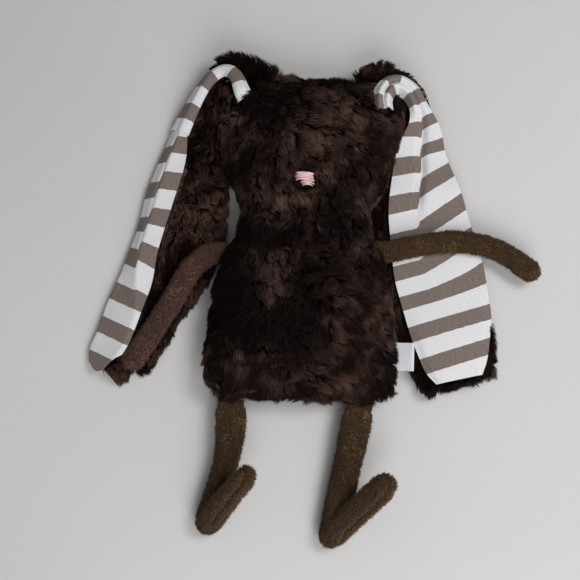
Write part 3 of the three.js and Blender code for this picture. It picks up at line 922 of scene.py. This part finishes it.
def right_pile():
    dice = np.random.default_rng(31)
    spots, outward, along, share = fringe(rows[:, -1], rows[:, -4], 6400, seed=32, inset=8)
    length = 9 + 4.5 * hump(share, 0.4, 0.14) + 3.5 * ease(0.6, 0.8, share)
    out = unit(outward + along * 0.25)
    parts = [(raised(spots, dice, spread=3.5, drop=2.5), out, along * 0.6 + UP * 0.1, length)]
    spots, outward, along, share = fringe(rows[:, 0], rows[:, 3], 3600, seed=33, inset=4)
    length = 3.2 + 8 * ease(0.72, 0.88, share)
    out = unit(outward + along * 0.35)
    parts.append((raised(spots, dice, spread=2.5, drop=3), out, along * 0.6, length))
    spots, outward, _, share = fringe(rows[-1], rows[-4], 2600, seed=34, inset=5)
    comb = outward * 0.3 + np.array([1, 0, 0]) * (share - 0.5)[:, None]
    length = np.full(len(spots), 12.0)
    parts.append((raised(spots, dice, spread=3.5, drop=2.5), outward, comb, length))
    spots, facing = scatter(ear_right_plush, per_square_mm=0.3, seed=35)
    below = facing[:, 2] < -0.5
    comb = np.tile([0.15, -1, 0], (below.sum(), 1))
    parts.append((spots[below], facing[below], comb, np.full(below.sum(), 7.0)))
    return pile("ear_right_pile", *joined(parts), lift=0.9, seed=36, tuft=6, swirl=0.6)


ear_right_pile = right_pile()
bend_ear(ear_right_pile)

# %% [markdown]
# ### Left ear
# Plush faces up and the outer edge is rolled forward over it, so the lining shows as a band with a crease:
# a shaded outer face and a bright inner face. Each row of the sheet is a section: the run on the floor, the
# turn, the outer face up to the crease and the inner face lying back over the pile.

# %% Left ear section
LEFT_SHARES = [(-0.021, -0.227), (-0.05, -0.488), (-0.149, -0.719), (-0.248, -0.95)]
# At shares of the length: how broad the band and its outer face are, and how far their stripes are shifted.
BAND = [(0, 8), (0.08, 9), (0.14, 13), (0.23, 22), (0.32, 26), (0.42, 25), (0.5, 22.5), (0.58, 24),
        (0.68, 29.5), (0.82, 31), (0.92, 29), (1, 22)]
FACE = [(0, 6), (0.15, 8), (0.28, 9), (0.33, 10.7), (0.38, 10.5), (0.43, 9.5), (0.52, 8.2), (0.62, 10),
        (0.7, 16), (0.78, 27), (0.9, 26), (1, 20)]
OUTER_SHIFT = ([0.25, 0.4, 0.6, 0.67, 0.78, 0.9, 1], [-7.5, -5.3, -9, -9.5, -6, -1.5, 1.5])
INNER_SHIFT = ([0.2, 0.3, 0.45, 0.64, 0.72, 0.78, 0.9, 1], [0, 1.6, 2, -3.2, -7, -6, -1.5, 1.5])
# Across the sheet: how much of its length is left, which rounds the tip.
TIP_STOPS = [0, 0.12, 0.27, 0.45, 0.55, 0.6, 0.66, 0.74, 0.82, 0.9, 1]
TIP_KEPT = [0.925, 0.965, 0.99, 0.985, 0.975, 0.98, 0.995, 1, 0.99, 0.965, 0.915]
left_spine, left_run = curve_through(ear_spine(-1, LEFT_SHARES), 170)


def left_half(t):
    return from_table(EAR_HALF, t) - 8.8 * ease(0.35, 0.75, t)


def left_section(t, deep):
    """Corners of the section at a share of the length, moved in by a depth: to the right, and up."""
    half = left_half(t)
    band = from_table(BAND, t)
    face = np.minimum(from_table(FACE, t), band - 1.5)
    top = 16.8 - 9 * (1 - ease(0, 0.12, t))
    side = half + 4 * ease(0.88, 0.97, t)
    return np.array([
        (-half + 2 + deep * 0.8, 0.8 + deep),
        (side - 11, 0.8 + deep),
        (side - 3 - deep, 1.8 + deep),
        (side - deep * 1.4, 6 + deep * 0.3),
        (side - face - deep * 0.6, top - deep),
        (side - band + deep * 0.4, top - 0.6 - deep),
    ])


def left_stripe(t):
    """The number along the cloth map that the stripes have at a share of the length."""
    return 0.92 * (t * left_run + 3.5) + 2.5


def left_rows(deep, first, last, columns):
    """Sections from a first to a last share, and how far each point lies to the right of the crease."""
    shares = np.linspace(0, 1, len(left_spine))
    inside = (shares >= first) & (shares <= last)
    path, shares = left_spine[inside], shares[inside]
    across = rightward(path)
    rows = np.zeros((len(path), columns, 5))
    past_crease = np.zeros((len(path), columns))
    for i, t in enumerate(shares):
        corners = left_section(t, deep)
        run = run_along(corners)
        fine = np.linspace(0, run[-1], columns * 4)
        line = np.column_stack([np.interp(fine, run, corners[:, k]) for k in range(2)])
        for _ in range(5):
            line[1:-1] = (line[:-2] + 2 * line[1:-1] + line[2:]) / 4
        kept = np.rint(np.linspace(0, len(line) - 1, columns)).astype(int)
        line = line[kept]
        rows[i, :, :3] = path[i] + across[i] * line[:, :1]
        rows[i, :, 2] = line[:, 1]
        rows[i, :, 3] = fine[kept]
        rows[i, :, 4] = left_stripe(t)
        past_crease[i] = line[:, 0] - corners[4, 0]
    return rows, shares, past_crease


def rounded(rows):
    """Draws the last rows of a section sheet in, so that the tip and the band over it end in curves."""
    kept = np.interp(np.linspace(0, 1, rows.shape[1]), TIP_STOPS, TIP_KEPT)
    steps = np.arange(len(rows))
    shaped = np.empty(rows.shape)
    for j, k in np.ndindex(rows.shape[1:]):
        shaped[:, j, k] = np.interp(steps * kept[j], steps, rows[:, j, k])
    return shaped


print("left ear section ready")

# %% Left ear lining
rows, shares, past_crease = left_rows(deep=0, first=0.05, last=1, columns=80)
shares = shares[:, None]
height, across, stripes = (rows[:, :, k] for k in (2, 3, 4))
inner_shift = np.interp(shares, *INNER_SHIFT)
outer_shift = np.interp(shares, *OUTER_SHIFT)
stripes += inner_shift + (outer_shift - inner_shift) * ease(-0.3, 0.8, past_crease)
creased = ease(0.1, 0.2, shares) * (1 - ease(0.55, 0.7, shares))
on_top = height > 9
height -= 1.6 * creased * on_top * hump(past_crease, 0.6, 1.1)
ripple = np.sin(shares * 40) * np.cos(across / 11)
height += np.where(height > 8, 0.5, 0.1) * ripple
ear_left_lining, area = cloth("ear_left_lining", rounded(rows), jersey_finish, JERSEY)
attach(ear_left_lining, "ear_left")
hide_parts("ear_left_flap_lining")

# %% Left ear arch
ARCH_HALF = [(0, 6.2), (0.2, 4.8), (0.45, 4.4), (0.62, 3.8), (0.75, 4.2), (0.9, 4.8), (1, 5)]
ARCH_ROWS, ARCH_COLUMNS, SKIRT_COLUMNS = 60, 13, 9


def left_arch_rows():
    """A crowned strip over the root, whose outer edge hangs down as a skirt where the ear begins."""
    path, run = curve_through(LEFT_ARCH, ARCH_ROWS)
    steps = np.linspace(0, 1, ARCH_ROWS)
    wide = from_table(ARCH_HALF, steps)
    rows = strips(path, -wide, wide, ARCH_COLUMNS)
    rows[:, :, 2] += 1.2 - 3.2 * np.linspace(-1, 1, ARCH_COLUMNS) ** 4
    meets = np.argmin(np.abs(left_spine[:, 1] - path[-1, 1])) / (len(left_spine) - 1)
    rows[:, :, 4] *= (left_stripe(meets) + 2 * STRIPE_PERIOD) / run
    opening = ease(0.3, 0.55, steps)[:, None]
    drop = (path[:, 2:] - 6) * opening
    hang = np.linspace(0, 1, SKIRT_COLUMNS + 1)[1:]
    skirt = np.repeat(rows[:, -1:], SKIRT_COLUMNS, axis=1)
    bulge = 1.2 + 5.3 * opening
    skirt[:, :, :3] += rightward(path)[:, None] * (bulge * np.sin(hang * 2.2))[:, :, None]
    skirt[:, :, 2] -= drop * hang
    skirt[:, :, 3] += drop * hang + hang
    return np.concatenate([rows, skirt], axis=1), run


rows, run = left_arch_rows()
ear_left_arch, area = cloth("ear_left_arch", rows, jersey_finish, JERSEY)
bend_ear(ear_left_arch)
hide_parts("ear_left_base_lining")
run * MM
min(area, 0.03 * run * MM)

# %% Left ear plush
rows = rounded(left_rows(deep=2.6, first=0.03, last=0.985, columns=50)[0])
ear_left_plush, area = cloth("ear_left_plush", rows, backing_finish, thick=1.4)
bend_ear(ear_left_plush)
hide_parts("ear_left_flap_plush")


def left_pile():
    dice = np.random.default_rng(41)
    spots, facing = scatter(ear_left_plush, per_square_mm=1.0, seed=42)
    nearest = np.argmin(np.abs(spots[:, 1:2] - left_spine[:, 1]), axis=1)
    aside = ((spots - left_spine[nearest]) * rightward(left_spine)[nearest]).sum(1)
    share = nearest / (len(left_spine) - 1)
    roofed = left_half(share) - from_table(BAND, share) + 6
    run = (facing[:, 2] > 0.6) & (spots[:, 2] < 9) & (aside < roofed)
    comb = np.tile([-0.25, -1, 0], (run.sum(), 1))
    parts = [(spots[run], facing[run], comb, np.full(run.sum(), 9.0))]
    spots, outward, along, share = fringe(rows[:, 0], rows[:, 3], 5200, seed=43, inset=4)
    out = unit(outward + along * 0.3 + [0, 0, 0.2])
    length = 7.5 + 5 * (1 - ease(0.08, 0.2, share))
    parts.append((raised(spots, dice, spread=3, drop=1), out, along * 0.8, length))
    spots, outward, along, _ = fringe(rows[:, -1], rows[:, -4], 2400, seed=44, inset=2.5)
    out = unit(outward + along * 0.3 - [0, 0, 0.5])
    parts.append((spots, out, along * 0.8, np.full(len(spots), 5.0)))
    spots, outward, _, share = fringe(rows[-1], rows[-4], 3600, seed=45, inset=5)
    flat = share < 0.6
    spots, outward, share = (v[flat] for v in (spots, outward, share))
    length = 12 + 4 * ease(0.15, 0.3, share) - 7 * ease(0.38, 0.5, share)
    parts.append((spots, unit(outward + [0, 0, 0.15]), outward * 0.4, length))
    return pile("ear_left_pile", *joined(parts), lift=0.75, seed=46, tuft=8, swirl=0.7, tone=0.12)


ear_left_pile = left_pile()
bend_ear(ear_left_pile)

# %% [markdown]
# ### Roots of the ears
# Where an ear is sewn into the top seam, its plush is gathered into a soft roll round the corner of the
# head. The roll is a stuffed piece with the longest pile of the toy, which makes the ragged crest of the
# head. The pile stops where the lining lies on the roll, and it is shorter in the hollow under an arch.

# %% Roots of the ears
# Middles of the hollows, and how long the pile is over the crest, in the hollows and beyond them.
HOLLOWS = {"left": (-72.5, 113.5), "right": (72.7, 104.2)}
HOLLOW_REACH = (9.5, 11)
CREST_PILE = {"left": 11.0, "right": 8.0}
HOLLOW_PILE = 7.5
FAR_PILE = 4.0
FAR_SIDE = {"left": 84, "right": 66}

for side, number in (("left", 51), ("right", 52)):
    base = f"ear_{side}_base_plush"
    roll = stuffed(f"ear_{side}_root", [base], backing_finish, voxel=2, inset=1.2, cap=0.6)
    if side == "left":
        spots = points_of(roll)
        spots[:, :2] += np.array([9, -3]) * ease(-62, -38, spots[:, :1])
        put_points(roll, spots)
    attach(roll, "body")
    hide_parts(base)
    spots, facing = scatter(roll, per_square_mm=1.0, seed=number)
    arch = left_arch if side == "left" else right_arch
    sign = np.sign(HOLLOWS[side][0])
    hollow = np.hypot(*((spots[:, :2] - HOLLOWS[side]) / HOLLOW_REACH).T) < 1
    far_side = ~hollow & (spots[:, 0] * sign > FAR_SIDE[side])
    near = gap_to(spots, arch) < np.where(hollow, 4.5, 6.5)
    bare = (near | far_side) & ((facing[:, 2] > 0.2) | (side == "left"))
    spots, facing, hollow, far_side = (v[~bare] for v in (spots, facing, hollow, far_side))
    fan = (np.abs(spots[:, 0]) - 62) / 45 * sign
    away = np.column_stack([fan, np.where(hollow | far_side, -1, 1), 0.2 + 0 * fan])
    tall = np.where(far_side | (spots[:, 0] < -75), FAR_PILE, CREST_PILE[side])
    tall = np.where(hollow, HOLLOW_PILE, tall)
    crown = pile(f"ear_{side}_root_pile", spots, facing, away, tall, lift=0.9, seed=number + 10)
    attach(crown, "body")

# %% [markdown]
# ## Arms and legs
# An arm is two layers of fleece sewn flat. A leg is a narrow stocking with a foot bent up, and its seam
# runs down the middle of the shin and along the sole: a groove pressed into the stuffed skin. Short fibres,
# planted like the pile but straight, give both the fuzzy outline of fleece.

# %% Nap
def on_foot(points, hip, heel, toe):
    """1 where points lie nearer to the foot than to the shin, 0 elsewhere."""
    shares, gaps = [], []
    for end in (toe, hip):
        along = end - heel
        share = np.clip((points - heel) @ along / (along @ along), 0, 1)
        shares.append(share)
        gaps.append(np.linalg.norm(points - heel - share[:, None] * along, axis=1))
    return ease(-3, 3, gaps[1] - gaps[0]) * ease(0, 0.25, shares[0])


SOLE_SHIFT = 4.2
SEAM_HALF = 1.0
# How much painted light makes the fibres on the foot paler, where the foot faces the light.
PAINTED_FOOT_LIGHT = 0.75


def seam_normal(hip, heel, toe):
    return unit(np.cross(heel - hip, toe - heel))


def nap_finish(name, root, dark, light):
    nap = Finish(name)
    _, spot, along = nap.map_of("OFBake")
    shade = nap.mix(along, root, nap.mix(spot, dark, light))
    return nap.done(Base_Color=shade, Roughness=0.9, Specular_IOR_Level=0.15, Sheen_Weight=0.1)


nap_brown = nap_finish("nap_brown", colour(49, 34, 19), colour(71, 51, 31), colour(122, 93, 63))
nap_red_brown = nap_finish("nap_red_brown", colour(54, 37, 30), colour(78, 55, 46), colour(132, 100, 87))


def nap(name, piece, finish, seed, per_square_mm, tall, leg=None):
    """Short fibres on a skin. On a leg they leave the seam of the sole open, and painted light makes them
    paler on the foot.
    """
    roots, facing = scatter(piece, per_square_mm, seed)
    painted_foot_light = 0
    if leg:
        foot = on_foot(roots, *leg)
        seam_gap = np.abs((roots - leg[1]) @ seam_normal(*leg) - SOLE_SHIFT * foot)
        kept = (seam_gap > SEAM_HALF) | (foot < 0.3)
        roots, facing = roots[kept], facing[kept]
        painted_foot_light = PAINTED_FOOT_LIGHT * foot[kept]
    dice = np.random.default_rng(seed)
    lean = noise_at(roots, 3) * 0.9 + dice.normal(0, 0.45, roots.shape)
    way = unit(facing + lean)
    tips = roots + way * (tall * (0.5 + 0.9 * dice.random(len(roots))))[:, None]
    tips[:, 2] = np.maximum(tips[:, 2], 0.2)
    # Painted light: the fibres are paler on the foot, which faces the light.
    shade = 0.4 + 0.5 * noise_at(roots, 4)[:, 0] + dice.normal(0, 0.25, len(roots)) + painted_foot_light
    thick = tall * (0.24 + 0.16 * dice.random(len(roots)))
    return spikes(name, [roots - facing * 0.2], tips, thick, shade, finish)


print("nap tools and finishes ready")

# %% Arms
# Of each arm: its slot, the finishes of its cloth and its nap, and a seed.
ARMS = {
    "arm_left": ("fleece_red_brown", fleece_red_brown, nap_red_brown, 61),
    "arm_right": ("fleece_brown", fleece_brown, nap_brown, 62),
}

for limb, (slot, ground, fibres, seed) in ARMS.items():
    layers = [f"{limb}_front_layer", f"{limb}_back_layer"]
    arm = stuffed(f"{limb}_fleece", layers, ground, voxel=1.7, inset=-0.2, cap=0.7, relax=1)
    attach(arm, limb)
    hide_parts(*layers)
    fuzz = nap(f"{limb}_nap", arm, fibres, seed, per_square_mm=1.5, tall=1.8)
    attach(fuzz, limb)

# %% Legs
LEG_LENGTH = 96.0
# Of each leg: heel and toe in shares of its length, how far it bulges and slims, and a seed.
LEGS = {
    "leg_left": ([(-0.135, -0.97, 0.104), (0.156, -0.594, 0.458)], (2.7, 0.16), 63),
    "leg_right": ([(-0.177, -1.03, 0.104), (0.198, -0.615, 0.417)], (5.0, 0.0), 64),
}


def press_seam(piece, hip, heel, toe):
    """A groove where the plane of the leg's seam cuts the skin, with a low welt on both sides."""
    points = points_of(piece)
    foot = on_foot(points, hip, heel, toe)
    gap = (points - heel) @ seam_normal(hip, heel, toe) - SOLE_SHIFT * foot
    groove = 2.0 * hump(gap, 0, 0.9) - 0.8 * hump(np.abs(gap), 2.7, 1.2)
    groove *= 0.25 + 0.75 * foot
    points = points - facing_of(piece) * groove[:, None]
    points[:, 2] = np.maximum(points[:, 2], 0.3)
    put_points(piece, points)


def settle(piece, hip, heel, toe, bulge, slim):
    """Spreads a shin at its hip, lets it bulge left above the ankle and slims the toe by a share."""
    points = points_of(piece)
    foot = on_foot(points, hip, heel, toe)
    share = (points[:, 1] - hip[1]) / (heel[1] - hip[1])
    middle = hip[0] + (heel[0] - hip[0]) * share
    points[:, 0] += (points[:, 0] - middle) * 0.42 * (1 - foot) * ease(-182, -142, points[:, 1])
    left_side = np.clip((middle - points[:, 0]) / 10, 0, 1)
    points[:, 0] -= bulge * left_side * (1 - foot) * hump(points[:, 1], -185, 30)
    along = toe - heel
    step = (points - heel) @ along / (along @ along)
    axis = heel + step[:, None] * along
    points -= (points - axis) * (slim * foot * ease(0.1, 0.8, step))[:, None]
    put_points(piece, points)


for limb, (shares, form, seed) in LEGS.items():
    hip = pivot[limb]
    below = np.array([hip[0], hip[1], 0])
    line = (hip, *(below + np.array(share) * LEG_LENGTH for share in shares))
    halves = [f"{limb}_outer_half", f"{limb}_inner_half", f"{limb}_stuffing"]
    leg = stuffed(f"{limb}_fleece", halves, fleece_brown, voxel=1.7, inset=0.9, cap=0.6)
    settle(leg, *line, *form)
    press_seam(leg, *line)
    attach(leg, limb)
    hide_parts(*halves)
    fuzz = nap(f"{limb}_nap", leg, nap_brown, seed, per_square_mm=1.3, tall=2.1, leg=line)
    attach(fuzz, limb)

# %% [markdown]
# ## Nose and label
# The nose is a patch of satin stitch: rows of pink thread, each thread diving into the pile at both ends.
# A thread is a curve with a round bevel, made a mesh. The label is a blank loop of satin ribbon, caught in
# the side seam and lifted a little at its fold.

# %% Nose
nose_low, nose_high = (np.array(corner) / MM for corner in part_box("nose_embroidery"))
ROW_SHARES = [1, 1, 0.94, 0.66, 0.6]
SIDE_MARGIN, TOP_MARGIN = 0.3, 1.2
STRANDS = 3
THREAD_RADIUS = 0.43
THREAD_DIVE = 3.4
threads = []
dice = np.random.default_rng(71)
for row, share in enumerate(ROW_SHARES):
    drop = (nose_high[1] - nose_low[1] - 2 * TOP_MARGIN) / (len(ROW_SHARES) - 1)
    y = nose_high[1] - TOP_MARGIN - row * drop
    right_end = nose_high[0] - SIDE_MARGIN
    left_end = right_end - (nose_high[0] - nose_low[0] - 2 * SIDE_MARGIN) * share
    for strand in range(STRANDS):
        clear()
        bpy.ops.curve.primitive_bezier_curve_add()
        stitch = bpy.context.active_object
        offset = (strand - 1) * 0.8 + dice.normal(0, 0.16)
        ends = dice.normal(0, 0.8, 2)
        top = nose_high[2] + 0.5 + dice.normal(0, 0.15)
        spots = [(left_end + ends[0], y + offset, top - THREAD_DIVE),
                 (right_end + ends[1], y + offset * 0.9, top - THREAD_DIVE)]
        for point, spot, lean in zip(stitch.data.splines[0].bezier_points, spots, (1, -1)):
            point.handle_left_type = "FREE"
            point.handle_right_type = "FREE"
            point.co = Vector(spot) * MM
            over = Vector((spot[0] + lean * 1.2, spot[1], top + 1.2)) * MM
            point.handle_right = over
            point.handle_left = over
        stitch.data.bevel_depth = THREAD_RADIUS * MM
        stitch.data.bevel_resolution = 2
        stitch.data.use_fill_caps = True
        bpy.ops.object.convert(target="MESH")
        threads.append(stitch)
nose = merged(threads[::-1])
nose.name = "nose_stitches"
bpy.ops.object.transform_apply()
bpy.ops.object.shade_smooth()
nose.data.materials.append(thread_finish)
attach(nose, "body")
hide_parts("nose_embroidery")
print("nose:", len(threads), "threads")

# %% Label
label_low, label_high = (np.array(corner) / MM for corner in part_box("label_loop"))
LABEL_LIFT = 3.0
LABEL_ROWS, LABEL_COLUMNS = 41, 23
LEAF = [(0.0, -0.5), (0.35, -0.7), (0.7, -1.1), (0.93, -1.3), (1.0, 0.0), (0.93, 1.3), (0.7, 1.2),
        (0.35, 0.8), (0.0, 0.5)]


def label_rows():
    """The ribbon's two leaves and the fold between them, from the seam out and back."""
    out_most = label_high[0] - label_low[0]
    middle = (label_low[2] + label_high[2]) / 2
    path, run = curve_through([(x * out_most, 0, z) for x, z in LEAF], LABEL_ROWS)
    breadth = np.linspace(label_low[1], label_high[1], LABEL_COLUMNS)
    rows = np.zeros((LABEL_ROWS, LABEL_COLUMNS, 5))
    rows[:, :, 0] = label_low[0] + path[:, :1]
    rows[:, :, 1] = breadth
    lift = LABEL_LIFT * (path[:, :1] / out_most) ** 1.5
    curl = 0.7 * np.sin(np.linspace(0, 3, LABEL_COLUMNS)) * path[:, :1] / out_most
    rows[:, :, 2] = middle + path[:, 2:] + lift + curl
    rows[:, :, 3] = breadth
    rows[:, :, 4] = np.linspace(0, run, LABEL_ROWS)[:, None]
    return rows, run


rows, run = label_rows()
label, _ = cloth("label_ribbon", rows, satin_finish, thick=0.35)
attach(label, "label")
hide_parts("label_loop")
run * MM
